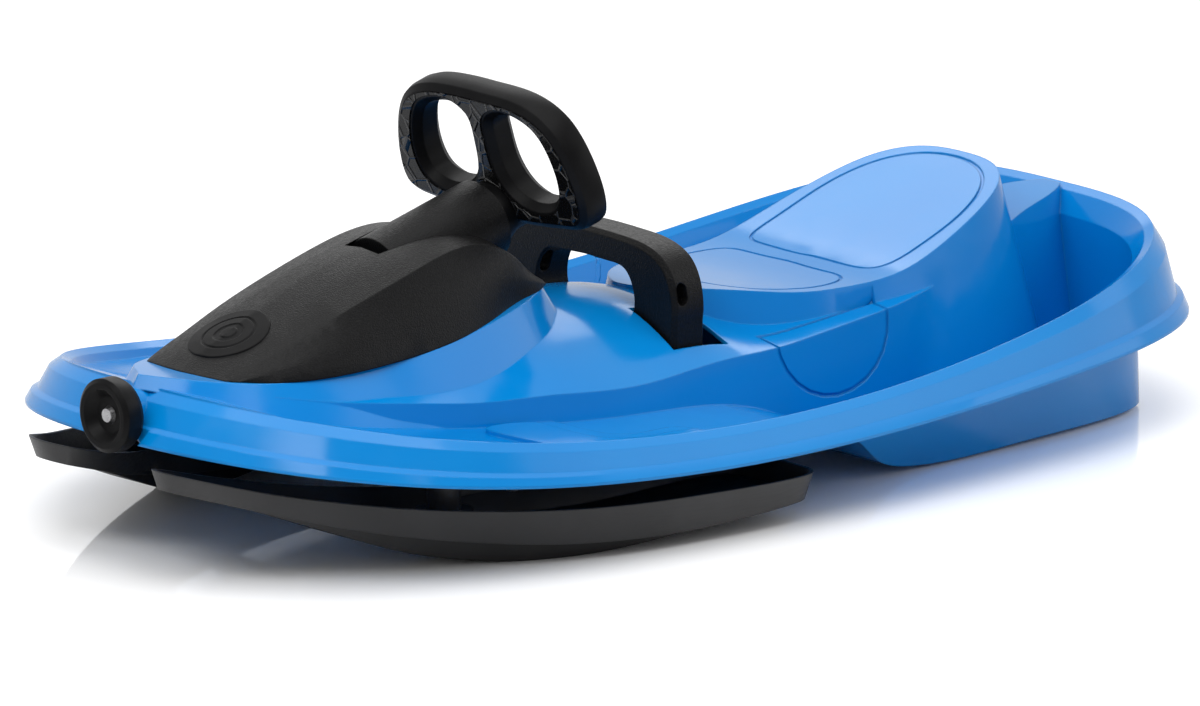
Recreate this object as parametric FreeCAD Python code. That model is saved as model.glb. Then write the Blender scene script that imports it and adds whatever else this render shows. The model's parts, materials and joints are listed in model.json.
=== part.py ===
import FreeCAD, Part
import math
import os
from FreeCAD import Vector

os.makedirs("parts", exist_ok=True)

# Driving dimensions, in millimetres. +X is forward, +Y is the rider's left, +Z is up.
hull_length = 1150.0
hull_beam = 606.0
wall = 4.0
knob_proud = 16.0
running_gap = 0.06
body_gap = 0.6
ring_points = 36
deep = -140.0
high = 420.0

# The box is centred: the knob stands proud of the nose, so the hull sits half of that to the rear.
half = hull_length / 2
beam = hull_beam / 2
hull_mid = -knob_proud / 2
nose_x = hull_mid + half
tail_x = hull_mid - half


# Small helpers for wires, lofts and solids
def at(u):
    return hull_mid + half * u


def closed_wire(points):
    curve = Part.BSplineCurve()
    curve.interpolate(points, PeriodicFlag=True)
    return Part.Wire(curve.toShape())


def ruled(wires):
    return Part.makeLoft(wires, True, True)


def smooth_edge(points):
    curve = Part.BSplineCurve()
    curve.interpolate(points)
    return curve.toShape()


def polygon(points):
    return Part.Face(Part.makePolygon(points + [points[0]]))


def box(x0, x1, y0, y1, z0, z1):
    return Part.makeBox(x1 - x0, y1 - y0, z1 - z0, Vector(x0, y0, z0))


def rod(radius, start, end):
    along = end - start
    return Part.makeCylinder(radius, along.Length, start, along)


def whole(half_plan):
    """A full outline in plan from the points of its left half."""
    return half_plan + [(x, -y) for x, y in reversed(half_plan[1:-1])]


def mirrored(shape):
    return shape.mirror(Vector(0, 0, 0), Vector(0, 1, 0))


def profile_wire(points, top, y):
    """A closed wire at one y: a curve through (x, z) points, closed along the level called top."""
    knots = [Vector(x, y, z) for x, z in points]
    first = Vector(knots[0].x, y, top)
    last = Vector(knots[-1].x, y, top)
    edges = [smooth_edge(knots), Part.makeLine(knots[-1], last), Part.makeLine(last, first)]
    edges.append(Part.makeLine(first, knots[0]))
    return Part.Wire(edges)


def side_profile(points, top, reach=beam + 60.0):
    """A solid over a curve of (x, z) points: above it when top is high, below it when top is deep."""
    return Part.Face(profile_wire(points, top, -reach)).extrude(Vector(0, 2 * reach, 0))


def lowered(points, drop):
    return [(x, z - drop) for x, z in points]


# Rim of the hull: a rounded outline and three sheer lines (skirt edge, step, crest)
nose_fullness = (3.8, 2.3)
tail_fullness = (5.0, 3.0)
tail_taper = 0.12


def signed_power(value, power):
    return math.copysign(abs(value) ** power, value)


def outline(angle, length_half, width_half, centre, rear=tail_fullness, taper=tail_taper):
    cosine = math.cos(angle)
    sine = math.sin(angle)
    fullness = nose_fullness if cosine > 0 else rear
    u = signed_power(cosine, 2 / fullness[0])
    w = signed_power(sine, 2 / fullness[1])
    return Vector(centre + length_half * u, width_half * w * (1 + taper * min(u, 0.0)), 0)


def skirt_line(u):
    return 67.0 - 5.0 * u + 43.0 * u**2 + 17.0 * u**3 - 10.0 * u**4


def step_line(u):
    return skirt_line(u) + 10.0 - 1.0 * u + 7.0 * u**2


def crest_line(u):
    return skirt_line(u) + 29.0 - 4.0 * u + 34.0 * u**2 - 16.0 * u**3


def rim_ring(inset, height):
    points = []
    for k in range(ring_points):
        angle = 2 * math.pi * k / ring_points
        here = outline(angle, half, beam, hull_mid)
        ahead = outline(angle + 0.01, half, beam, hull_mid)
        behind = outline(angle - 0.01, half, beam, hull_mid)
        along = (ahead - behind).normalize()
        inward = Vector(-along.y, along.x, 0)
        u = (here.x - hull_mid) / half
        point = here + inward * inset
        point.z = height(u)
        points.append(point)
    return closed_wire(points)


def level(z):
    return lambda u: z


# Tub: the footwells' wall runs from the crest down to this smaller outline
tub_rear = -520.0
tub_front = 420.0
tub_half_beam = 118.0
tub_fullness = (10.0, 10.0)
tub_flare = 0.5
lip_in = 32.0
skirt_land = 2.5


def tub_ring(outset):
    centre = (tub_rear + tub_front) / 2
    reach = (tub_front - tub_rear) / 2
    points = []
    for k in range(ring_points):
        angle = 2 * math.pi * k / ring_points
        point = outline(angle, reach + outset, tub_half_beam + outset, centre, tub_fullness, -tub_flare)
        point.z = deep
        points.append(point)
    return closed_wire(points)


def hull_block(inset):
    """The hull's outside, with a crisp step and a rounded shoulder up to the crest."""
    return ruled([
        rim_ring(inset, level(deep)),
        rim_ring(inset, lambda u: skirt_line(u) + skirt_land),
        rim_ring(inset + 5.0, lambda u: step_line(u) - 3.0 - inset / 2),
        rim_ring(inset + 11.0, lambda u: step_line(u) - inset),
        rim_ring(inset + 21.0, lambda u: 0.3 * step_line(u) + 0.7 * crest_line(u) - inset),
        rim_ring(inset + lip_in, lambda u: crest_line(u) - inset),
        rim_ring(inset + lip_in + 2.0, level(high)),
    ])


def well_block(outset):
    """The space the rider's legs take: a rolled lip, then a wall that runs down to the tub."""
    drop = outset * 0.6
    return ruled([
        rim_ring(-30.0 - outset, level(high)),
        rim_ring(lip_in - 10.0 - outset, lambda u: crest_line(u) + 5.0 - drop),
        rim_ring(lip_in + 8.0 - outset, lambda u: crest_line(u) - 5.0 - drop),
        rim_ring(lip_in + 19.0 - outset, lambda u: crest_line(u) - 24.0 - drop),
        tub_ring(outset),
    ])


# Floor of the footwells: deep tub at the rear, footrest ramp in front, foredeck at the nose
floor_curve = [
    (tail_x - 40.0, 12.0), (-480.0, 8.0), (-320.0, 8.0), (-180.0, 10.0), (-135.0, 22.0),
    (-100.0, 46.0), (-50.0, 68.0), (40.0, 82.0), (140.0, 88.0), (220.0, 94.0), (300.0, 102.0),
    (400.0, 117.0), (460.0, 132.0), (500.0, 147.0), (540.0, 158.0), (nose_x + 40.0, 160.0),
]


# Solids with drafted sides over an outline in plan: wider by the draft's slope below z_ref
def drafted(plan, z_ref, draft, z0, z1, shrink):
    wires = []
    outline_points = [Vector(x, y, 0) for x, y in plan]
    count = len(outline_points)
    for z in (z0, z1):
        outset = (z_ref - z) * math.tan(math.radians(draft)) - shrink
        points = []
        for k in range(count):
            along = (outline_points[(k + 1) % count] - outline_points[k - 1]).normalize()
            points.append(outline_points[k] + Vector(along.y, -along.x, 0) * outset + Vector(0, 0, z))
        wires.append(closed_wire(points))
    return ruled(wires)


# Mounds on the floor: a half outline in plan, drafted sides and a top that follows a side profile
def mound(half_plan, z_ref, draft, top, shrink=0.0):
    peak = max(z for x, z in top) + 30.0
    body = drafted(whole(half_plan), z_ref, draft, 0.0, peak, shrink)
    return body.common(side_profile(lowered(top, shrink), deep))


# Spine: drafted sides under a crowned roof, which is the ledge beside the seat and the hood
spine_plan = [
    (520.0, 0.0), (508.0, 48.0), (460.0, 84.0), (395.0, 104.0), (338.0, 116.0), (271.0, 131.0),
    (194.0, 140.0), (103.0, 147.0), (25.0, 142.0), (-80.0, 136.0), (-160.0, 132.0), (-235.0, 130.0),
    (-310.0, 117.0), (-370.0, 98.0), (-430.0, 70.0), (-480.0, 48.0), (-530.0, 34.0), (-560.0, 0.0),
]
spine_level = 115.0
spine_draft = 9.0
spine_peak = 260.0
shoulder_y = 85.0
edge_y = 150.0
# Each station of the roof: x, then its height on the centre line, at the shoulder and at the edge
roof_stations = [
    (600.0, 160.0, 158.0, 140.0), (465.0, 150.0, 147.0, 118.0), (395.0, 146.0, 141.0, 110.0),
    (300.0, 144.0, 138.0, 110.0), (231.0, 150.0, 140.0, 110.0), (163.0, 162.0, 148.0, 110.0),
    (103.0, 168.0, 148.0, 109.0), (45.0, 164.0, 146.0, 107.0), (-23.0, 156.0, 141.0, 108.0),
    (-80.0, 140.0, 126.0, 111.0), (-150.0, 132.0, 125.0, 116.0), (-235.0, 134.0, 132.0, 124.0),
    (-370.0, 148.0, 148.0, 142.0), (-450.0, 160.0, 160.0, 158.0), (-620.0, 172.0, 172.0, 171.0),
]


def roof(shrink):
    """Everything below the roof, lofted across the sled through seven profiles."""
    crown = [(x, centre - shrink) for x, centre, shoulder, edge in roof_stations]
    middle = [(x, shoulder - shrink) for x, centre, shoulder, edge in roof_stations]
    border = [(x, edge - shrink) for x, centre, shoulder, edge in roof_stations]
    beyond = [(x, 2 * edge - shoulder - shrink) for x, centre, shoulder, edge in roof_stations]
    left = [(0.0, crown), (shoulder_y, middle), (edge_y, border), (2 * edge_y - shoulder_y, beyond)]
    rows = [(-y, line) for y, line in reversed(left[1:])] + left
    return Part.makeLoft([profile_wire(line, deep, y) for y, line in rows], True, False)


def spine_core(shrink):
    sides = drafted(whole(spine_plan), spine_level, spine_draft, 0.0, spine_peak, shrink)
    return sides.common(roof(shrink))


ridge_plan = [
    (560.0, 0.0), (548.0, 32.0), (510.0, 66.0), (465.0, 86.0), (395.0, 101.0), (348.0, 102.0),
    (300.0, 107.0), (240.0, 107.0), (190.0, 104.0), (150.0, 98.0), (118.0, 88.0), (92.0, 74.0),
    (74.0, 50.0), (64.0, 0.0),
]
ridge_top = [
    (600.0, 167.0), (530.0, 166.0), (460.0, 158.0), (370.0, 157.0), (280.0, 162.0), (205.0, 172.0),
    (140.0, 181.0), (60.0, 184.0),
]
ridge_level = 135.0
ridge_draft = 32.0
pad_plan = [
    (-22.0, 0.0), (-30.0, 26.0), (-56.0, 52.0), (-98.0, 74.0), (-145.0, 93.0), (-205.0, 103.0),
    (-265.0, 112.0), (-325.0, 113.0), (-370.0, 108.0), (-410.0, 94.0), (-440.0, 62.0), (-452.0, 0.0),
]
pad_top = [
    (20.0, 158.0), (-35.0, 159.0), (-90.0, 155.0), (-145.0, 148.0), (-200.0, 146.0), (-255.0, 151.0),
    (-310.0, 168.0), (-370.0, 191.0), (-430.0, 213.0), (-500.0, 232.0),
]
pad_level = 150.0
pad_draft = 14.0


def ridge(shrink):
    return mound(ridge_plan, ridge_level, ridge_draft, ridge_top, shrink)


# The spine ends inside the thickness of the tub's rear wall
def tail_stop(sink):
    wall_top = crest_line(-1.0)
    foot = tail_x + lip_in - sink
    points = [
        (tub_rear - sink, deep), (foot + 19.0, wall_top - 24.0), (foot + 8.0, wall_top - 5.0),
        (foot + 8.0, high), (nose_x, high), (nose_x, deep),
    ]
    return polygon([Vector(x, -beam, z) for x, z in points]).extrude(Vector(0, hull_beam, 0))


def island(shrink):
    spine = spine_core(shrink).common(tail_stop(wall / 2 - shrink))
    pad = mound(pad_plan, pad_level, pad_draft, pad_top, shrink)
    return spine.fuse([ridge(shrink), pad])


boss_z = 82.0
hood_opening = (140.0, 430.0, -44.0, 44.0)


# Steering column: an inclined axis; s runs along it towards the rider, v is up within the wheel's plane
column_point = Vector(138.5, 0, 243.7)
column_tilt = 16.0
column_axis = Vector(-math.cos(math.radians(column_tilt)), 0, math.sin(math.radians(column_tilt)))
column_up = Vector(math.sin(math.radians(column_tilt)), 0, math.cos(math.radians(column_tilt)))


def on_column(s, y=0.0, v=0.0):
    return column_point + column_axis * s + Vector(0, y, 0) + column_up * v


def column_rod(radius, s0, s1):
    return rod(radius, on_column(s0), on_column(s1))


def column_cone(r0, s0, r1, s1):
    start = on_column(s0)
    return Part.makeCone(r0, r1, abs(s1 - s0), start, on_column(s1) - start)


shaft_radius = 9.0
bush_radius = 14.0
housing_rear_radius = 36.5
housing_front_radius = 38.5
housing_length = 126.0
housing_wall = 3.0
bulkhead = 12.0
foot_reach = 58.0
foot_width = 10.0
foot_ahead = 50.0
foot_length = 40.0


def make_housing():
    r0 = housing_rear_radius
    r1 = housing_front_radius
    shell = column_cone(r1, -housing_length, r0, 0.0)
    hollow = column_cone(r1 - housing_wall, -housing_length + bulkhead, r0 - housing_wall, -bulkhead)
    bore = column_rod(bush_radius, -housing_length - 5.0, 5.0)
    x0 = column_point.x + foot_ahead
    x1 = x0 + foot_length
    inside = foot_reach - foot_width
    stand = box(x0, x1, -foot_reach, foot_reach, 150.0, 212.0).common(side_profile(ridge_top, high))
    arch = box(x0 - 1.0, x1 + 1.0, -inside, inside, 140.0, 194.0)
    stand = stand.cut([arch, column_cone(r1 - 1.5, -housing_length, r0 - 1.5, 0.0)])
    return shell.cut([hollow, bore]).fuse(stand)


def make_bushing(s0, s1):
    return column_rod(bush_radius, s0, s1).cut(column_rod(shaft_radius + running_gap, s0 - 1.0, s1 + 1.0))


# Steering wheel: a soft-edged plate with two finger windows, a central spoke and a conical hub low down
wheel_s = 17.0
wheel_depth = 32.0
wheel_soft = 7.0
wheel_half = [
    (0.0, 117.0), (36.0, 116.5), (68.0, 112.0), (94.0, 99.0), (111.0, 76.0), (121.0, 46.0),
    (123.0, 22.0), (115.0, 2.0), (92.0, -5.0), (56.0, -9.0), (26.0, -10.5), (0.0, -11.0),
]
window_half = [
    (19.0, 91.0), (30.0, 96.0), (54.0, 95.0), (73.0, 86.0), (85.0, 64.0), (88.0, 40.0), (82.0, 23.0),
    (66.0, 15.5), (44.0, 16.0), (27.0, 25.0), (16.0, 45.0), (14.0, 70.0),
]
hub_radius = 24.0
neck_radius = 33.0


def wheel_wire(points, inset, s):
    """A closed curve across the wheel through (y, v) points, moved inwards by the inset."""
    flat = [Vector(y, v, 0) for y, v in points]
    count = len(flat)
    moved = []
    for k in range(count):
        along = (flat[(k + 1) % count] - flat[k - 1]).normalize()
        p = flat[k] + Vector(along.y, -along.x, 0) * inset
        moved.append(on_column(s, p.x, p.y))
    return closed_wire(moved)


def wheel_outline(inset, s):
    return wheel_wire(wheel_half + [(-y, v) for y, v in reversed(wheel_half[1:-1])], inset, s)


def wheel_window(inset, s):
    return wheel_wire(window_half, inset, s)


def wheel_plate(points, s0, s1):
    corners = [on_column(s0, y, v) for y, v in points]
    return polygon(corners).extrude(column_axis * (s1 - s0))


def make_wheel():
    s0 = wheel_s
    s1 = wheel_s + wheel_depth
    soft = wheel_soft
    plate = ruled([
        wheel_outline(soft, s0), wheel_outline(1.5, s0 + soft * 0.6), wheel_outline(0.0, s0 + soft * 1.4),
        wheel_outline(0.0, s1 - soft * 1.4), wheel_outline(1.5, s1 - soft * 0.6), wheel_outline(soft, s1),
    ])
    window = ruled([
        wheel_window(-soft, s0 - 1.0), wheel_window(0.0, s0 + soft),
        wheel_window(0.0, s1 - soft), wheel_window(-soft, s1 + 1.0),
    ])
    hub = column_cone(neck_radius, body_gap, hub_radius, wheel_s + soft)
    boss = column_rod(hub_radius, wheel_s, s1 + 2.0)
    bore = column_rod(shaft_radius, -1.0, s1 - 6.0)
    return plate.cut([window, mirrored(window)]).fuse([hub, boss]).cut(bore)


inlay_proud = 1.4
inlay_margin = 8.5


def make_inlay():
    s0 = wheel_s - inlay_proud
    skin = ruled([wheel_outline(inlay_margin, s0), wheel_outline(inlay_margin, wheel_s)])
    hole = ruled([wheel_window(-inlay_margin, s0 - 1.0), wheel_window(-inlay_margin, wheel_s + 1.0)])
    around_hub = column_rod(hub_radius + 4.5, -1.0, wheel_s + 1.0)
    return skin.cut([hole, mirrored(hole), around_hub])


def make_hub_cap():
    s1 = wheel_s + wheel_depth + 2.0
    return column_cone(16.0, s1, 11.0, s1 + 5.0)


# Steering gear: the drop arm's pin works in the rack's fork, and the rack swings both skis
drop_radius = 37.0
drop_s = -138.0
pin_radius = 5.0
pin_length = 24.0
fork_play = 1.2
slot_play = 0.5
slot_reach = 6.0
arm_length = 80.0
rack_half = 7.0
rack_z = 80.0
ski_track = 190.0
pin_point = on_column(drop_s - 13.0, 0.0, -drop_radius)
rack_x = pin_point.x
kingpin_x = rack_x + arm_length
kingpin_radius = 8.0


def make_shaft():
    return column_rod(shaft_radius, drop_s - 6.0, wheel_s + wheel_depth - 6.0)


def make_drop_arm():
    s0 = drop_s - 4.0
    s1 = drop_s + 4.0
    boss = column_rod(16.0, s0, s1)
    toe = rod(10.0, on_column(s0, 0.0, -drop_radius), on_column(s1, 0.0, -drop_radius))
    web = wheel_plate([(-13.0, -6.0), (13.0, -6.0), (9.0, -drop_radius), (-9.0, -drop_radius)], s0, s1)
    pin = rod(pin_radius, on_column(s1, 0.0, -drop_radius), on_column(s1 - pin_length, 0.0, -drop_radius))
    return boss.fuse([toe, web, pin]).cut(column_rod(shaft_radius, s0 - 1.0, s1 + 1.0))


def make_rack():
    reach = ski_track + 14.0
    bar = box(rack_x - rack_half, rack_x + rack_half, -reach, reach, rack_z - rack_half, rack_z + rack_half)
    fork_top = pin_point.z + 9.0
    riser = box(rack_x - 5.0, rack_x + 5.0, -20.0, 20.0, rack_z, fork_top)
    slot_half = pin_radius + fork_play
    slot = box(rack_x - 6.0, rack_x + 6.0, -slot_half, slot_half, pin_point.z - 16.0, fork_top + 1.0)
    foot = box(rack_x - rack_half, rack_x + rack_half, -34.0, 34.0, rack_z, rack_z + 16.0)
    rack = bar.fuse([riser, foot]).cut(slot)
    for side in (1, -1):
        y = side * ski_track
        rack = rack.cut(rod(pin_radius, Vector(rack_x, y, 0), Vector(rack_x, y, 200.0)))
    return rack


def make_rack_pin(side):
    y = side * ski_track
    shank = rod(pin_radius, Vector(rack_x, y, rack_z - 26.0), Vector(rack_x, y, rack_z + rack_half + 2.0))
    head = rod(8.0, Vector(rack_x, y, rack_z + rack_half), Vector(rack_x, y, rack_z + rack_half + 5.0))
    return shank.fuse(head)


def make_rack_guide():
    plate = box(rack_x - 18.0, rack_x + 18.0, 62.0, 76.0, rack_z - 14.0, 200.0)
    window = rack_half + body_gap
    hole = box(rack_x - window, rack_x + window, 60.0, 80.0, rack_z - window, rack_z + window)
    return plate.cut(hole).common(ridge(wall))


# Skis: open-topped trays with a keel below; the outer edge follows the hull's outline
ski_plan = [
    (564.0, 66.0), (563.0, 96.0), (552.0, 114.0), (512.0, 146.0), (430.0, 199.0), (352.0, 239.0),
    (275.0, 271.0), (180.0, 292.0), (120.0, 297.0), (70.0, 299.0), (34.0, 298.0), (11.0, 293.0),
    (-2.0, 280.0), (-6.0, 256.0), (-7.0, 224.0), (-6.0, 192.0), (-1.0, 170.0), (14.0, 156.0),
    (40.0, 151.0), (90.0, 148.0), (180.0, 141.0), (275.0, 130.0), (370.0, 112.0), (470.0, 84.0),
    (540.0, 58.0),
]
ski_rim = [
    (620.0, 106.0), (576.0, 98.0), (523.0, 84.0), (475.0, 74.0), (429.0, 66.0), (356.0, 57.0),
    (290.0, 52.0), (217.0, 49.0), (136.0, 47.0), (48.0, 45.0), (-40.0, 44.0),
]
ski_belly = [
    (620.0, 90.0), (565.0, 78.0), (502.0, 59.0), (408.0, 36.0), (340.0, 25.0), (287.0, 19.0),
    (217.0, 15.0), (141.0, 14.0), (90.0, 16.0), (13.0, 20.0), (-40.0, 23.0),
]
keel_base = [
    (620.0, 84.0), (488.0, 52.0), (440.0, 33.0), (399.0, 18.0), (364.0, 9.0), (330.0, 3.5),
    (300.0, 0.6), (270.0, 0.0), (240.0, 0.6), (208.0, 2.5), (177.0, 6.0), (149.0, 10.5), (60.0, 26.0),
]
keel_plan = [
    (506.0, 112.0), (490.0, 132.0), (440.0, 160.0), (364.0, 196.0), (300.0, 226.0), (240.0, 248.0),
    (180.0, 264.0), (134.0, 266.0), (128.0, 246.0), (160.0, 206.0), (230.0, 184.0), (310.0, 160.0),
    (390.0, 132.0), (460.0, 104.0),
]
ski_draft = 17.0
keel_draft = 8.0
ski_wall = 3.0


def ski_block(inset, low, rise, sink):
    body = drafted(ski_plan, 50.0, -ski_draft, -10.0, 112.0, inset)
    body = body.common(side_profile(lowered(ski_rim, -rise), deep))
    return body.common(side_profile(lowered(low, sink), high))


def make_ski():
    tray = ski_block(0.0, ski_belly, 0.0, 0.0)
    hollow = ski_block(ski_wall, ski_belly, 60.0, -ski_wall)
    centre = Vector(kingpin_x, ski_track, 0)
    seat_z = 44.0
    pedestal = rod(27.0, centre, centre + Vector(0, 0, seat_z)).common(ski_block(1.0, ski_belly, 0.0, 0.0))
    well = rod(18.0, centre + Vector(0, 0, 33.0), centre + Vector(0, 0, 90.0))
    return tray.cut(hollow).fuse(pedestal).cut(well)


def make_keel():
    keel = drafted(keel_plan, 10.0, -keel_draft, -10.0, 112.0, 0.0)
    return keel.common(side_profile(keel_base, high)).common(side_profile(ski_belly, deep))


def make_steer_arm():
    centre = Vector(kingpin_x, ski_track, 0)
    up = Vector(0, 0, 1)
    tube = rod(15.0, centre + up * 44.0, centre + up * (boss_z - body_gap))
    flange = rod(26.0, centre + up * 44.0, centre + up * 50.0)
    lever = box(rack_x - 14.0, kingpin_x, ski_track - 12.0, ski_track + 12.0, 62.0, 72.0)
    slot_half = pin_radius + slot_play
    x0 = rack_x - slot_reach
    x1 = rack_x + slot_reach
    slot = box(x0, x1, ski_track - slot_half, ski_track + slot_half, 60.0, 74.0)
    ends = [rod(slot_half, Vector(x, ski_track, 60.0), Vector(x, ski_track, 74.0)) for x in (x0, x1)]
    bore = rod(kingpin_radius + running_gap, centre, centre + up * 200.0)
    return tube.fuse([flange, lever]).cut([slot] + ends + [bore])


def make_kingpin():
    centre = Vector(kingpin_x, ski_track, 0)
    up = Vector(0, 0, 1)
    return rod(kingpin_radius, centre + up * 36.0, centre + up * (boss_z + 16.0))


def make_washer():
    centre = Vector(kingpin_x, ski_track, 0)
    up = Vector(0, 0, 1)
    ring = rod(14.0, centre + up * 38.0, centre + up * (44.0 - body_gap))
    return ring.cut(rod(kingpin_radius, centre, centre + up * 100.0))


# Hood cover: a blunt-nosed bonnet with a crease on each side, set on the hull's ridge
hood_wall = 3.0
hood_gap = 1.2
# Each station: x, half width and height of its foot, half width and height of the crease, crown
hood_stations = [
    (502.0, 30.0, 153.0, 28.0, 158.0, 160.0), (479.0, 57.0, 156.0, 54.0, 163.0, 168.0),
    (440.0, 78.0, 157.0, 58.0, 177.0, 186.0), (400.0, 89.0, 157.0, 62.0, 191.0, 202.0),
    (325.0, 93.0, 159.0, 65.0, 215.0, 229.0), (280.0, 91.0, 162.0, 65.0, 228.0, 240.0),
    (232.0, 86.0, 168.0, 62.0, 239.0, 247.0), (189.0, 74.0, 174.0, 58.0, 238.0, 246.0),
    (142.0, 57.0, 180.0, 48.0, 217.0, 222.0), (99.0, 39.0, 182.0, 35.0, 188.0, 190.0),
]
hood_rear = 104.0
hood_front = 486.0


def hood_section(x, base, foot, crease, crease_z, crown, shrink):
    low = 60.0
    half_points = [
        (base - shrink, low), (base - shrink, foot),
        (0.5 * (base + crease) + 3.0 - shrink, 0.5 * (foot + crease_z)),
        (crease - shrink, crease_z - shrink), (0.5 * crease, 0.3 * crease_z + 0.7 * crown - shrink),
    ]
    right = [Vector(x, y, z) for y, z in half_points]
    left = [Vector(x, -p.y, p.z) for p in reversed(right)]
    return Part.makePolygon(right + [Vector(x, 0, crown - shrink)] + left + [right[0]])


def hood_block(shrink):
    return Part.makeLoft([hood_section(*station, shrink) for station in hood_stations], True, False)


def make_hood():
    inner = hood_block(hood_wall).common(box(hood_rear, hood_front, -beam, beam, 0.0, high))
    shell = hood_block(0.0).cut(inner).common(side_profile(ridge_top, high))
    r0 = housing_rear_radius + hood_gap
    r1 = housing_front_radius + hood_gap
    return shell.cut(column_cone(r1, -housing_length - 12.0, r0, 40.0))


# Brake: an arched lever whose axle turns in two webs under the saddle, with a claw on each side
brake_x = -2.0
brake_z = 100.0
axle_radius = 7.0
lever_depth = 38.0
lever_soft = 4.0
leg_outer = 117.0
leg_inner = 64.0
web_y = 50.0
web_thick = 8.0
claw_y = 32.0
lever_outer = [
    (leg_outer, 88.0), (leg_outer, 150.0), (115.5, 180.0), (104.0, 200.0), (80.0, 212.0), (40.0, 216.5),
    (0.0, 217.5),
]
lever_inner = [
    (leg_inner, 60.0), (leg_inner, 150.0), (62.5, 174.0), (52.0, 188.0), (30.0, 191.5), (0.0, 192.5),
]


def lever_arch(points, x, inset=0.0):
    right = [Vector(x, y * (1 - inset / leg_outer), z - inset) for y, z in points]
    left = [Vector(x, -p.y, p.z) for p in reversed(right[:-1])]
    crown = smooth_edge(right[1:] + left[:-1])
    edges = [Part.makeLine(right[0], right[1]), crown, Part.makeLine(left[-2], left[-1])]
    edges.append(Part.makeLine(left[-1], right[0]))
    return Part.Wire(edges)


def make_lever():
    x0 = brake_x - lever_depth / 2
    x1 = brake_x + lever_depth / 2
    sections = [(x0, lever_soft), (x0 + lever_soft, 0.0), (x1 - lever_soft, 0.0), (x1, lever_soft)]
    arch = ruled([lever_arch(lever_outer, x, inset) for x, inset in sections])
    gap = Part.Face(lever_arch(lever_inner, x0 - 1.0)).extrude(Vector(lever_depth + 2.0, 0, 0))
    body = arch.cut(gap)
    hole_x = brake_x + 9.0
    hole = box(hole_x - 6.0, hole_x + 6.0, -leg_outer - 1.0, leg_outer + 1.0, 170.0, 178.0)
    hole_ends = [rod(6.0, Vector(hole_x, -beam, z), Vector(hole_x, beam, z)) for z in (170.0, 178.0)]
    grip_hollow = box(brake_x - 14.0, brake_x + 14.0, -58.0, 58.0, 180.0, 204.0)
    bore = rod(axle_radius, Vector(brake_x, -150.0, brake_z), Vector(brake_x, 150.0, brake_z))
    return body.cut([hole, grip_hollow, bore] + hole_ends)


def make_axle():
    reach = leg_outer - 2.0
    return rod(axle_radius, Vector(brake_x, -reach, brake_z), Vector(brake_x, reach, brake_z))


def make_claw(side):
    y0 = side * claw_y - 3.0
    hub = rod(14.0, Vector(brake_x, y0, brake_z), Vector(brake_x, y0 + 6.0, brake_z))
    points = [(8.0, 92.0), (-12.0, 108.0), (-58.0, 60.0), (-66.0, 14.0), (-50.0, 20.0), (-42.0, 54.0)]
    plate = polygon([Vector(brake_x + x, y0, z) for x, z in points]).extrude(Vector(0, 6.0, 0))
    bore = rod(axle_radius, Vector(brake_x, y0 - 1.0, brake_z), Vector(brake_x, y0 + 7.0, brake_z))
    return hub.fuse(plate).cut(bore)


# Pull knob: a round handle in a cup at the nose, on a stem that slides in an eyelet
knob_z = 136.0
knob_radius = 33.0
knob_thick = 22.0
stem_radius = 7.0
eyelet_radius = 12.0
cup_radius = 37.0
nose_boss = 36.0
nose_boss_radius = 20.0
knob_back = nose_x + knob_proud - knob_thick
cup_floor = knob_back - 2.0


def nose_rod(radius, x0, x1):
    return rod(radius, Vector(x0, 0, knob_z), Vector(x1, 0, knob_z))


def make_knob():
    x0 = knob_back
    x1 = nose_x + knob_proud
    disc = Part.makeCone(knob_radius - 3.0, knob_radius, 5.0, Vector(x0, 0, knob_z), Vector(1, 0, 0))
    rim = nose_rod(knob_radius, x0 + 5.0, x1 - 3.0)
    face = Part.makeCone(knob_radius, knob_radius - 4.0, 3.0, Vector(x1 - 3.0, 0, knob_z), Vector(1, 0, 0))
    dish = Part.makeCone(16.0, 24.0, 9.0, Vector(x1 - 9.0, 0, knob_z), Vector(1, 0, 0))
    bore = nose_rod(stem_radius, x0 - 1.0, x1 - 10.0)
    screw_hole = nose_rod(4.0, x0, x1)
    return disc.fuse([rim, face]).cut([dish, bore, screw_hole])


def make_stem():
    return nose_rod(stem_radius, knob_back - 70.0, nose_x + knob_proud - 10.0)


def make_knob_screw():
    x1 = nose_x + knob_proud
    shank = nose_rod(4.0, x1 - 10.0, x1 - 8.0)
    head = Part.makeCone(8.0, 6.0, 4.0, Vector(x1 - 9.0, 0, knob_z), Vector(1, 0, 0))
    return shank.fuse(head)


def make_eyelet():
    barrel = nose_rod(eyelet_radius, cup_floor - nose_boss - 4.0, cup_floor)
    flange = nose_rod(eyelet_radius + 4.0, cup_floor - nose_boss - 4.0, cup_floor - nose_boss)
    return barrel.fuse(flange).cut(nose_rod(stem_radius + running_gap, cup_floor - 60.0, cup_floor + 5.0))


# Seat and backrest panels: shallow grooves cut into the pad's top
seat_panel = [
    (-90.0, 0.0), (-94.0, 38.0), (-112.0, 64.0), (-152.0, 81.0), (-196.0, 87.0), (-220.0, 78.0),
    (-226.0, 40.0), (-228.0, 0.0),
]
back_panel = [
    (-246.0, 0.0), (-246.0, 52.0), (-252.0, 80.0), (-300.0, 91.0), (-352.0, 88.0), (-396.0, 70.0),
    (-420.0, 40.0), (-428.0, 0.0),
]
groove_width = 3.0
groove_depth = 1.6


def panel_groove(half_plan):
    plan = whole(half_plan)
    band = drafted(plan, 0.0, 0.0, 100.0, 260.0, 0.0).cut(drafted(plan, 0.0, 0.0, 90.0, 270.0, groove_width))
    return band.common(side_profile(lowered(pad_top, groove_depth), high))


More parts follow.
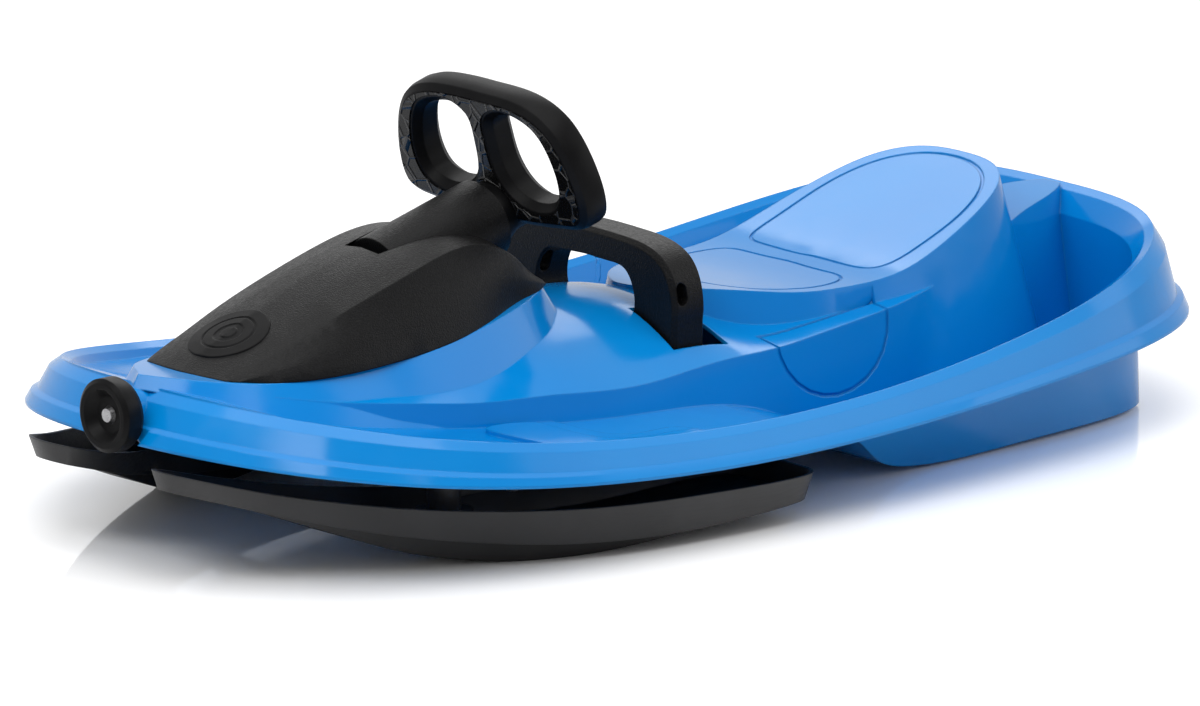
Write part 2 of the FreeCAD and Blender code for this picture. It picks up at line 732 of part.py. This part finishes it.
# Half-round panel outlined on each side of the spine, wrapped over the ledge's edge
label_x = -158.0
label_half = 70.0
label_z = 122.0
label_depth = 62.0
label_y = 108.0
label_facets = 12


def label_prism(inset):
    half_width = label_half - inset
    points = [Vector(label_x + half_width, label_y + inset, spine_peak)]
    for k in range(label_facets + 1):
        angle = math.pi * k / label_facets
        z = label_z - (label_depth - inset) * math.sin(angle)
        points.append(Vector(label_x + half_width * math.cos(angle), label_y + inset, z))
    points.append(Vector(label_x - half_width, label_y + inset, spine_peak))
    return polygon(points).extrude(Vector(0, edge_y, 0))


def label_groove():
    return label_prism(0.0).cut(label_prism(groove_width)).cut(spine_core(groove_depth))


# Footrests: two low terraces round the front corner of each footwell's floor
terraces = [
    (2.0, [(182.0, 150.0), (181.0, 190.0), (173.0, 211.0), (150.0, 218.0), (100.0, 217.0), (96.0, 262.0),
           (180.0, 268.0), (250.0, 240.0), (262.0, 190.0), (258.0, 150.0)]),
    (4.0, [(206.0, 154.0), (207.0, 200.0), (199.0, 227.0), (165.0, 240.0), (98.0, 244.0), (94.0, 270.0),
           (184.0, 276.0), (262.0, 246.0), (276.0, 190.0), (272.0, 154.0)]),
]


def footrest(rise, plan):
    step = drafted(plan, 0.0, 0.0, 40.0, 160.0, 0.0).common(side_profile(lowered(floor_curve, 2.0), high))
    return step.common(side_profile(lowered(floor_curve, -rise), deep))


# Runner rails under the tub carry the sled's rear on the ground
rail_ends = (-440.0, -200.0)
rail_half = 5.0
rail_track = 150.0
rail_base = 8.0
rail_nose = 14.0


def rail(y):
    x0, x1 = rail_ends
    y0 = y - rail_half
    side = [
        Vector(x0, y0, rail_base), Vector(x0 + rail_nose, y0, 0.0), Vector(x1 - rail_nose, y0, 0.0),
        Vector(x1, y0, rail_base),
    ]
    return polygon(side).extrude(Vector(0, 2 * rail_half, 0))


post_radius = 17.0
leg_gap = 3.0
pull_room = 24.0


def make_hull():
    outer = hull_block(0.0)
    inner = hull_block(wall)
    well = well_block(0.0).common(side_profile(floor_curve, high))
    well_skin = well_block(wall).common(side_profile(lowered(floor_curve, wall), high))
    skirt_curve = [(at(0.2 * k), skirt_line(0.2 * k)) for k in range(-6, 7)]
    flange = outer.cut(inner).common(side_profile(skirt_curve, high))
    pan = flange.fuse(well_skin.common(outer)).cut(well)
    block = island(0.0).common(side_profile(lowered(floor_curve, wall), high))
    hollow = island(wall).common(inner)
    under_deck = side_profile(lowered(floor_curve, 1.0), deep)
    cup = nose_rod(cup_radius + wall, cup_floor - wall, nose_x).common(outer).common(under_deck)
    added = [block, cup.common(side_profile(skirt_curve, high))]
    groove = label_groove()
    removed = [panel_groove(seat_panel), panel_groove(back_panel), groove, mirrored(groove)]
    kept = [nose_rod(nose_boss_radius, cup_floor - nose_boss, cup_floor)]
    for rise, plan in terraces:
        terrace = footrest(rise, plan).common(well_skin)
        kept.extend([terrace, mirrored(terrace)])
    leg_x0 = brake_x - lever_depth / 2 - pull_room
    leg_x1 = brake_x + lever_depth / 2 + leg_gap
    for side in (1, -1):
        post = Vector(kingpin_x, side * ski_track, boss_z)
        kept.append(rod(post_radius, post, post + Vector(0, 0, 60.0)).common(under_deck))
        removed.append(rod(kingpin_radius, post - Vector(0, 0, 1.0), post + Vector(0, 0, 16.0)))
        web_y0 = side * web_y - web_thick / 2
        web = box(brake_x - 16.0, brake_x + 14.0, web_y0, web_y0 + web_thick, brake_z - 16.0, 200.0)
        kept.append(web.common(hollow))
        kept.append(rail(side * rail_track))
        y0, y1 = sorted((side * (leg_inner - leg_gap), side * (leg_outer + leg_gap)))
        removed.append(box(leg_x0, leg_x1, y0, y1, brake_z - 8.0, spine_peak))
    bore_end = Vector(0, leg_inner, 0)
    axle_middle = Vector(brake_x, 0, brake_z)
    removed.append(rod(axle_radius + running_gap, axle_middle - bore_end, axle_middle + bore_end))
    removed.append(box(*hood_opening, 120.0, spine_peak))
    removed.append(nose_rod(cup_radius, cup_floor, nose_x + 60.0))
    removed.append(nose_rod(eyelet_radius, cup_floor - 60.0, cup_floor + 1.0))
    return pan.fuse(added).cut(hollow).fuse(kept).cut(removed)


# Every node, built once and written out
left_ski = make_ski()
left_keel = make_keel()
left_arm = make_steer_arm()
left_kingpin = make_kingpin()
left_washer = make_washer()
left_guide = make_rack_guide()
nodes = {
    "hull": make_hull(),
    "hood_cover": make_hood(),
    "column_housing": make_housing(),
    "upper_bushing": make_bushing(-bulkhead, 0.0),
    "lower_bushing": make_bushing(-housing_length, -housing_length + bulkhead),
    "left_rack_guide": left_guide,
    "right_rack_guide": mirrored(left_guide),
    "left_kingpin": left_kingpin,
    "right_kingpin": mirrored(left_kingpin),
    "left_washer": left_washer,
    "right_washer": mirrored(left_washer),
    "cord_eyelet": make_eyelet(),
    "steering_wheel": make_wheel(),
    "grip_inlay": make_inlay(),
    "hub_cap": make_hub_cap(),
    "steering_shaft": make_shaft(),
    "drop_arm": make_drop_arm(),
    "steering_rack": make_rack(),
    "left_rack_pin": make_rack_pin(1),
    "right_rack_pin": make_rack_pin(-1),
    "left_ski": left_ski,
    "right_ski": mirrored(left_ski),
    "left_keel": left_keel,
    "right_keel": mirrored(left_keel),
    "left_steer_arm": left_arm,
    "right_steer_arm": mirrored(left_arm),
    "brake_lever": make_lever(),
    "brake_axle": make_axle(),
    "left_claw": make_claw(1),
    "right_claw": make_claw(-1),
    "pull_knob": make_knob(),
    "knob_stem": make_stem(),
    "knob_screw": make_knob_screw(),
}
for name, shape in nodes.items():
    solid = shape.Solids[0]
    if len(shape.Solids) != 1 or not solid.isValid():
        raise ValueError(name + " is not one valid solid")
    solid.exportStep("parts/" + name + ".step")
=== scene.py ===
# Steering sled: finishes for the CAD nodes, four small extra pieces and a white studio
import json
import math

import bmesh
import bpy
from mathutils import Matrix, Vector
from mathutils.bvhtree import BVHTree


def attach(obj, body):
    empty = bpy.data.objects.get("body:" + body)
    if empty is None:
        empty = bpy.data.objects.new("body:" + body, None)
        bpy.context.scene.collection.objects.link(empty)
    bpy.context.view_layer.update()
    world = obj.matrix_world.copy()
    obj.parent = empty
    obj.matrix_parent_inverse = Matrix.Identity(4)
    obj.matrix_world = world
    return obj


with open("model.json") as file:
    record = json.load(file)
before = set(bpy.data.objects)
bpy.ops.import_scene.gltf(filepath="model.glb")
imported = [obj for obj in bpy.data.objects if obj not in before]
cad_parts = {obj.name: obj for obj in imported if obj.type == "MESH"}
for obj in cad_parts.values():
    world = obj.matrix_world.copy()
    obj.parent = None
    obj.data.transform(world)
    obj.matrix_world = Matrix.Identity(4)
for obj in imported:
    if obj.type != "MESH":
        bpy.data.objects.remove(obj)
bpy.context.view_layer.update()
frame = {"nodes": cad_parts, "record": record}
nodes = frame["nodes"]
scene = bpy.context.scene
scene.view_settings.view_transform = "Standard"

UP = Vector((0.0, 0.0, 1.0))
DOWN = Vector((0.0, 0.0, -1.0))
NOISE_RANGE = (0.3, 0.7)  # where nearly all values of a noise texture lie
EDGE_RADIUS = 0.002  # moulded edges are shaded as if rounded to this radius
SEAM_GAP = 0.00002  # points of a CAD mesh that lie closer than this are joined
CORNER_ANGLE = math.radians(34.0)  # edges that bend by more than this stay sharp
HULL_CORNER_ANGLE = math.radians(20.0)  # keeps the narrow bands of the hull's rim apart
BADGE_CORNER_ANGLE = math.radians(25.0)


# Helpers for node trees: an input is either a plain value or another node's output to link.
# Every texture is in object space, so its scale is per metre.
def fill(tree, made, inputs):
    for socket, value in inputs.items():
        if isinstance(value, bpy.types.NodeSocket):
            tree.links.new(value, made.inputs[socket])
        else:
            made.inputs[socket].default_value = value


def node(tree, kind, inputs, **settings):
    made = tree.nodes.new(kind)
    for key, value in settings.items():
        setattr(made, key, value)
    fill(tree, made, inputs)
    return made


def new_material(name):
    material = bpy.data.materials.new(name)
    material.use_nodes = True
    return material, material.node_tree


def dress(material, inputs):
    tree = material.node_tree
    fill(tree, tree.nodes["Principled BSDF"], inputs)
    return material


def coordinates(tree, stretch=(1.0, 1.0, 1.0)):
    source = node(tree, "ShaderNodeTexCoord", {})
    inputs = {"Vector": source.outputs["Object"], "Scale": stretch}
    return node(tree, "ShaderNodeMapping", inputs).outputs["Vector"]


def noise(tree, vector, scale, detail=2.0, rough=0.5):
    inputs = {"Vector": vector, "Scale": scale, "Detail": detail, "Roughness": rough}
    return node(tree, "ShaderNodeTexNoise", inputs).outputs["Fac"]


def voronoi(tree, vector, scale, feature):
    inputs = {"Vector": vector, "Scale": scale}
    return node(tree, "ShaderNodeTexVoronoi", inputs, feature=feature).outputs["Distance"]


def ramp(tree, value, first, last, span=NOISE_RANGE):
    made = node(tree, "ShaderNodeValToRGB", {"Fac": value})
    for element, place, colour in zip(made.color_ramp.elements, span, (first, last)):
        element.position = place
        element.color = (*colour, 1.0)
    return made.outputs["Color"]


def spread(tree, value, low, high):
    least, most = NOISE_RANGE
    inputs = {"Value": value, "From Min": least, "From Max": most, "To Min": low, "To Max": high}
    return node(tree, "ShaderNodeMapRange", inputs).outputs["Result"]


def bump(tree, height, strength, depth, under=None):
    inputs = {"Height": height, "Strength": strength, "Distance": depth}
    if under is not None:
        inputs["Normal"] = under
    return node(tree, "ShaderNodeBump", inputs).outputs["Normal"]


def rounded_edges(tree):
    return node(tree, "ShaderNodeBevel", {"Radius": EDGE_RADIUS}, samples=4).outputs["Normal"]


# Glossy moulded shell: faint flow clouds in the colour, waves and orange peel in the gloss
def shell_material():
    material, tree = new_material("shell_blue")
    where = coordinates(tree)
    clouds = noise(tree, where, scale=5.0, detail=3.0)
    haze = noise(tree, where, scale=40.0, detail=3.0)
    ripple = noise(tree, where, scale=30.0, detail=1.0)
    peel = noise(tree, where, scale=700.0, detail=1.0)
    waves = bump(tree, ripple, strength=0.010, depth=0.002, under=rounded_edges(tree))
    return dress(material, {
        "Base Color": ramp(tree, clouds, (0.0004, 0.214, 0.610), (0.0006, 0.238, 0.650)),
        "Roughness": spread(tree, haze, low=0.11, high=0.17),
        "Normal": bump(tree, peel, strength=0.025, depth=0.0004, under=waves),
        "Specular IOR Level": 0.36,
    })


# Spark-grained black plastic: a pebbled skin that breaks the highlight into points
def grained_material():
    material, tree = new_material("grained_black")
    where = coordinates(tree)
    speck = noise(tree, where, scale=850.0, detail=2.0, rough=0.6)
    haze = noise(tree, where, scale=300.0, detail=2.0)
    cells = voronoi(tree, where, scale=800.0, feature="SMOOTH_F1")
    pebbles = bump(tree, cells, strength=0.50, depth=0.0006, under=rounded_edges(tree))
    dark = (0.0015, 0.0015, 0.0017)
    pale = (0.008, 0.008, 0.0084)
    return dress(material, {
        "Base Color": ramp(tree, speck, dark, pale, span=(0.35, 0.68)),
        "Roughness": spread(tree, haze, low=0.30, high=0.46),
        "Normal": bump(tree, speck, strength=0.45, depth=0.0005, under=pebbles),
        "Specular IOR Level": 0.18,
    })


# Satin grip plastic: faint clouds in the colour, a fine grain in the gloss
def grip_material():
    material, tree = new_material("grip_black")
    where = coordinates(tree)
    clouds = noise(tree, where, scale=30.0, detail=3.0)
    speck = noise(tree, where, scale=1100.0, detail=2.0)
    return dress(material, {
        "Base Color": ramp(tree, clouds, (0.003, 0.003, 0.0033), (0.007, 0.007, 0.0075)),
        "Roughness": spread(tree, speck, low=0.34, high=0.46),
        "Normal": bump(tree, speck, strength=0.16, depth=0.0003, under=rounded_edges(tree)),
        "Specular IOR Level": 0.10,
    })


# Glossy cell pattern on the wheel's grip: dark cells with paler, raised borders
def cell_material():
    material, tree = new_material("gloss_black")
    where = coordinates(tree)
    border = voronoi(tree, where, scale=62.0, feature="DISTANCE_TO_EDGE")
    ridge = ramp(tree, border, (1.0, 1.0, 1.0), (0.0, 0.0, 0.0), span=(0.02, 0.09))
    haze = noise(tree, where, scale=500.0)
    pale = (0.030, 0.030, 0.031)
    dark = (0.003, 0.003, 0.0033)
    return dress(material, {
        "Base Color": ramp(tree, border, pale, dark, span=(0.02, 0.06)),
        "Roughness": spread(tree, haze, low=0.22, high=0.32),
        "Normal": bump(tree, ridge, strength=0.9, depth=0.0022),
        "Specular IOR Level": 0.30,
    })


# Satin plastic of the skis and the steering gear, with faint scuffs along the travel
def ski_material(name, dark, pale):
    material, tree = new_material(name)
    where = coordinates(tree)
    along = coordinates(tree, stretch=(4.0, 90.0, 90.0))
    clouds = noise(tree, where, scale=12.0, detail=4.0)
    grain = noise(tree, where, scale=900.0, detail=2.0)
    scuff = noise(tree, along, scale=6.0, detail=4.0, rough=0.6)
    skin = bump(tree, grain, strength=0.12, depth=0.0003, under=rounded_edges(tree))
    return dress(material, {
        "Base Color": ramp(tree, clouds, dark, pale),
        "Roughness": spread(tree, scuff, low=0.33, high=0.5),
        "Normal": bump(tree, scuff, strength=0.05, depth=0.0005, under=skin),
    })


# Natural bearing plastic: clouded grey with a fine grain
def bearing_material():
    material, tree = new_material("bearing_grey")
    where = coordinates(tree)
    clouds = noise(tree, where, scale=60.0, detail=3.0)
    grain = noise(tree, where, scale=900.0)
    return dress(material, {
        "Base Color": ramp(tree, clouds, (0.27, 0.27, 0.28), (0.38, 0.38, 0.38)),
        "Roughness": spread(tree, clouds, low=0.35, high=0.5),
        "Normal": bump(tree, grain, strength=0.1, depth=0.0003),
    })


# Drawn steel: fine lines and a little tarnish
def steel_material():
    material, tree = new_material("plain_steel")
    along = coordinates(tree, stretch=(60.0, 900.0, 900.0))
    lines = noise(tree, along, scale=1.0, detail=3.0)
    tarnish = noise(tree, coordinates(tree), scale=90.0, detail=4.0)
    return dress(material, {
        "Base Color": ramp(tree, tarnish, (0.42, 0.42, 0.44), (0.62, 0.62, 0.63)),
        "Roughness": spread(tree, lines, low=0.25, high=0.42),
        "Normal": bump(tree, lines, strength=0.08, depth=0.0002),
        "Metallic": 1.0,
    })


materials = {
    "shell_blue": shell_material(),
    "grained_black": grained_material(),
    "grip_black": grip_material(),
    "gloss_black": cell_material(),
    "ski_black": ski_material("ski_black", (0.010, 0.010, 0.011), (0.020, 0.020, 0.022)),
    "gear_black": ski_material("gear_black", (0.016, 0.016, 0.017), (0.032, 0.032, 0.034)),
    "bearing_grey": bearing_material(),
    "plain_steel": steel_material(),
}


# Helpers for meshes
def smooth_to_corners(piece, angle):
    for polygon in piece.data.polygons:
        polygon.use_smooth = True
    split = piece.modifiers.new("true_corners", "EDGE_SPLIT")
    split.split_angle = angle


def mesh_object(name, shape, material):
    mesh = bpy.data.meshes.new(name)
    shape.to_mesh(mesh)
    shape.free()
    mesh.materials.append(material)
    made = bpy.data.objects.new(name, mesh)
    scene.collection.objects.link(made)
    return made


def skin_of(name):
    mesh = nodes[name].data
    return BVHTree.FromPolygons([v.co for v in mesh.vertices], [p.vertices for p in mesh.polygons])


# CAD nodes keep their meshes: seams between their faces close, and only true corners stay sharp
for part in frame["record"]["subparts"]:
    piece = nodes[part["node"]]
    piece.data.materials.clear()
    piece.data.materials.append(materials[part["material_slot"]])
    weld = piece.modifiers.new("close_seams", "WELD")
    weld.merge_threshold = SEAM_GAP
    smooth_to_corners(piece, HULL_CORNER_ANGLE if part["node"] == "hull" else CORNER_ANGLE)


# Plain round badge with two ring-shaped grooves, laid on the hood's front slope
def badge():
    place_x = 0.436
    radius = 0.038
    segments = 64
    raised = 0.0012
    groove = 0.0004
    above_hood = 1.0  # height from which the ray to the badge's middle starts
    off_slope = 0.05  # distance from which the rays to its other points start
    # Share of the radius and height over the hood, from the middle to the edge
    profile = [
        (0.20, raised), (0.215, groove), (0.36, groove), (0.375, raised),
        (0.60, raised), (0.615, groove), (0.66, groove), (0.675, raised),
        (0.98, raised), (0.995, groove), (1.0, -groove),
    ]
    skin = skin_of("hood_cover")
    centre, up, _, _ = skin.ray_cast(Vector((place_x, 0.0, above_hood)), DOWN)
    across = Vector((0.0, 1.0, 0.0))
    along = across.cross(up).normalized()
    shape = bmesh.new()

    def on_skin(share, turn, height):
        flat = (along * math.cos(turn) + across * math.sin(turn)) * (radius * share)
        hit, normal, _, _ = skin.ray_cast(centre + flat + up * off_slope, -up)
        return shape.verts.new(hit + normal * height)

    turns = [2.0 * math.pi * i / segments for i in range(segments)]
    rings = [[on_skin(share, turn, height) for turn in turns] for share, height in profile]
    middle = on_skin(0.0, 0.0, raised)
    for i in range(segments):
        shape.faces.new((middle, rings[0][i], rings[0][i - 1]))
        for inner, outer in zip(rings, rings[1:]):
            shape.faces.new((inner[i - 1], inner[i], outer[i], outer[i - 1]))
    bmesh.ops.recalc_face_normals(shape, faces=shape.faces)
    made = mesh_object("hood_badge", shape, materials["grip_black"])
    smooth_to_corners(made, BADGE_CORNER_ANGLE)
    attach(made, "frame")


# Closed ribbon of the shell's plastic through cross-sections of four corners each
def shell_ribbon(name, sections):
    shape = bmesh.new()
    rows = [[shape.verts.new(corner) for corner in section] for section in sections]
    for first, second in zip(rows, rows[1:]):
        for i in range(len(first)):
            shape.faces.new((first[i - 1], first[i], second[i], second[i - 1]))
    shape.faces.new(rows[0])
    shape.faces.new(rows[-1])
    bmesh.ops.recalc_face_normals(shape, faces=shape.faces)
    made = mesh_object(name, shape, materials["shell_blue"])
    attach(made, "frame")


hull_skin = skin_of("hull")


# The CAD's outline of the side panel also slits the hull's outer wall: a ribbon closes the slit
def wall_fill(name, side):
    middle_x, top_z = -0.158, 0.122  # middle of the outline's straight top
    half_length, depth = 0.070, 0.062  # of the half oval that hangs from it
    facets = 12  # straight runs of the half oval
    steps = 3  # sections of the ribbon on each run
    edges = (-0.0007, 0.0037)  # how far inside the outline the ribbon's two edges lie
    start_y, reach = 0.205, 0.085  # rays look outwards for the wall from here, this far
    proud = 0.0001  # the ribbon stands out of the wall's inner face by this
    wall = 0.003  # and goes into the wall by this
    away = Vector((0.0, side, 0.0))

    def corner(inset, k):
        turn = math.pi * k / facets
        x = middle_x + (half_length - inset) * math.cos(turn)
        z = top_z - (depth - inset) * math.sin(turn)
        return Vector((x, side * start_y, z))

    sections = []
    for step in range(facets * steps + 1):
        k, part_way = divmod(step, steps)
        starts = [corner(inset, k).lerp(corner(inset, k + 1), part_way / steps) for inset in edges]
        hits = [hull_skin.ray_cast(start, away, reach)[0] for start in starts]
        if None not in hits:
            inner = [hit - away * proud for hit in hits]
            outer = [hit + away * wall for hit in hits]
            sections.append((inner[0], inner[1], outer[1], outer[0]))
    shell_ribbon(name, sections)


# Rib under the spine, behind the brake's axle: it blocks the view from one lever slot to the other
def spine_rib():
    half = 0.0015  # half its thickness, and how far it goes into the spine
    foot = 0.060
    first_x, spacing, count = -0.085, 0.006, 13
    sections = []
    for step in range(count):
        x = first_x + spacing * step
        roof, _, _, _ = hull_skin.ray_cast(Vector((x, 0.0, foot)), UP)
        top = roof.z + half
        outline = ((-half, foot), (half, foot), (half, top), (-half, top))
        sections.append([Vector((x, y, z)) for y, z in outline])
    shell_ribbon("spine_rib", sections)


badge()
wall_fill("wall_fill_left", 1.0)
wall_fill("wall_fill_right", -1.0)
spine_rib()


# White floor with a faint mirror image. Its colour is lifted for camera rays alone, so that it
# fades into the background and keeps the shadow, and adds no more light to the sled.
def floor():
    half_size = 6.0
    camera_lift = 0.75
    material, tree = new_material("floor_white")
    cloud = noise(tree, coordinates(tree), scale=1.5, detail=2.0)
    colour = ramp(tree, cloud, (0.90, 0.90, 0.905), (0.92, 0.92, 0.92))
    seen = node(tree, "ShaderNodeLightPath", {}).outputs["Is Camera Ray"]
    factors = {0: seen, 1: camera_lift, 2: 1.0}
    lift = node(tree, "ShaderNodeMath", factors, operation="MULTIPLY_ADD").outputs["Value"]
    scaled = {0: colour, "Scale": lift}
    white = node(tree, "ShaderNodeVectorMath", scaled, operation="SCALE").outputs["Vector"]
    dress(material, {
        "Base Color": white,
        "Roughness": spread(tree, cloud, low=0.03, high=0.05),
        "Metallic": 0.18,
    })
    shape = bmesh.new()
    bmesh.ops.create_grid(shape, x_segments=2, y_segments=2, size=half_size)
    made = mesh_object("floor", shape, material)


# Soft rectangular lamp that faces a point of the sled
def soft_light(name, place, aim, size, power):
    data = bpy.data.lights.new(name, "AREA")
    data.shape = "RECTANGLE"
    data.size, data.size_y = size
    data.energy = power
    made = bpy.data.objects.new(name, data)
    made.location = place
    made.rotation_mode = "QUATERNION"
    made.rotation_quaternion = (Vector(aim) - Vector(place)).to_track_quat("-Z", "Y")
    scene.collection.objects.link(made)


# White world with three levels: one for the light on the sled, one for the background that the
# camera sees, and for gloss a cove that is dim on the camera's side and bright on the far side
def studio():
    light_level = 0.50
    camera_level = 1.0
    cove_dim, cove_bright = 0.25, 0.85
    cove_start, cove_end = -0.1, 0.75  # how far a direction points to the far side, -1 to 1
    far_side = (-0.64, -0.71, 0.30)
    world = bpy.data.worlds.new("studio")
    scene.world = world
    world.use_nodes = True
    tree = world.node_tree
    seen = node(tree, "ShaderNodeLightPath", {})
    place = node(tree, "ShaderNodeTexCoord", {})
    directions = {0: place.outputs["Generated"], 1: far_side}
    facing = node(tree, "ShaderNodeVectorMath", directions, operation="DOT_PRODUCT")
    slope = {
        "Value": facing.outputs["Value"],
        "From Min": cove_start,
        "From Max": cove_end,
        "To Min": cove_dim,
        "To Max": cove_bright,
    }
    cove = node(tree, "ShaderNodeMapRange", slope, interpolation_type="SMOOTHSTEP")
    by_gloss = {
        "Factor": seen.outputs["Is Glossy Ray"],
        "A": light_level,
        "B": cove.outputs["Result"],
    }
    lit = node(tree, "ShaderNodeMix", by_gloss, data_type="FLOAT")
    by_camera = {
        "Factor": seen.outputs["Is Camera Ray"],
        "A": lit.outputs["Result"],
        "B": camera_level,
    }
    level = node(tree, "ShaderNodeMix", by_camera, data_type="FLOAT")
    fill(tree, tree.nodes["Background"], {
        "Color": (1.0, 1.0, 1.0, 1.0),
        "Strength": level.outputs["Result"],
    })
    # Name, place, point faced, width and height in metres, power in watts
    soft_light("overhead", (0.45, 0.4, 2.2), (0.1, 0.05, 0.1), (2.4, 2.2), 31.0)
    soft_light("far_panel", (-1.35, -1.3, 1.6), (0.05, 0.0, 0.18), (1.4, 0.8), 7.0)
    soft_light("front_panel", (1.9, 0.3, 1.7), (0.4, 0.08, 0.12), (2.2, 0.6), 17.0)
    soft_light("rear_right", (-1.9, 1.6, 1.2), (-0.2, 0.0, 0.12), (2.2, 1.6), 12.0)


# Camera at the photo's viewing angle, with a long lens from far away
def camera():
    azimuth = math.radians(138.0)
    elevation = math.radians(13.46)
    lens = 950.0
    sensor = 36.0
    target = Vector((-0.0041, -0.0035, 0.0982))
    width = 1.0605  # of the view at the target
    level = math.cos(elevation)
    back = Vector((math.sin(azimuth) * level, -math.cos(azimuth) * level, math.sin(elevation)))
    data = bpy.data.cameras.new("camera")
    data.lens = lens
    data.sensor_width = sensor
    data.clip_end = 200.0
    made = bpy.data.objects.new("camera", data)
    made.location = target + back * (width * lens / sensor)
    made.rotation_mode = "QUATERNION"
    made.rotation_quaternion = (-back).to_track_quat("-Z", "Y")
    scene.collection.objects.link(made)
    scene.camera = made


floor()
studio()
camera()
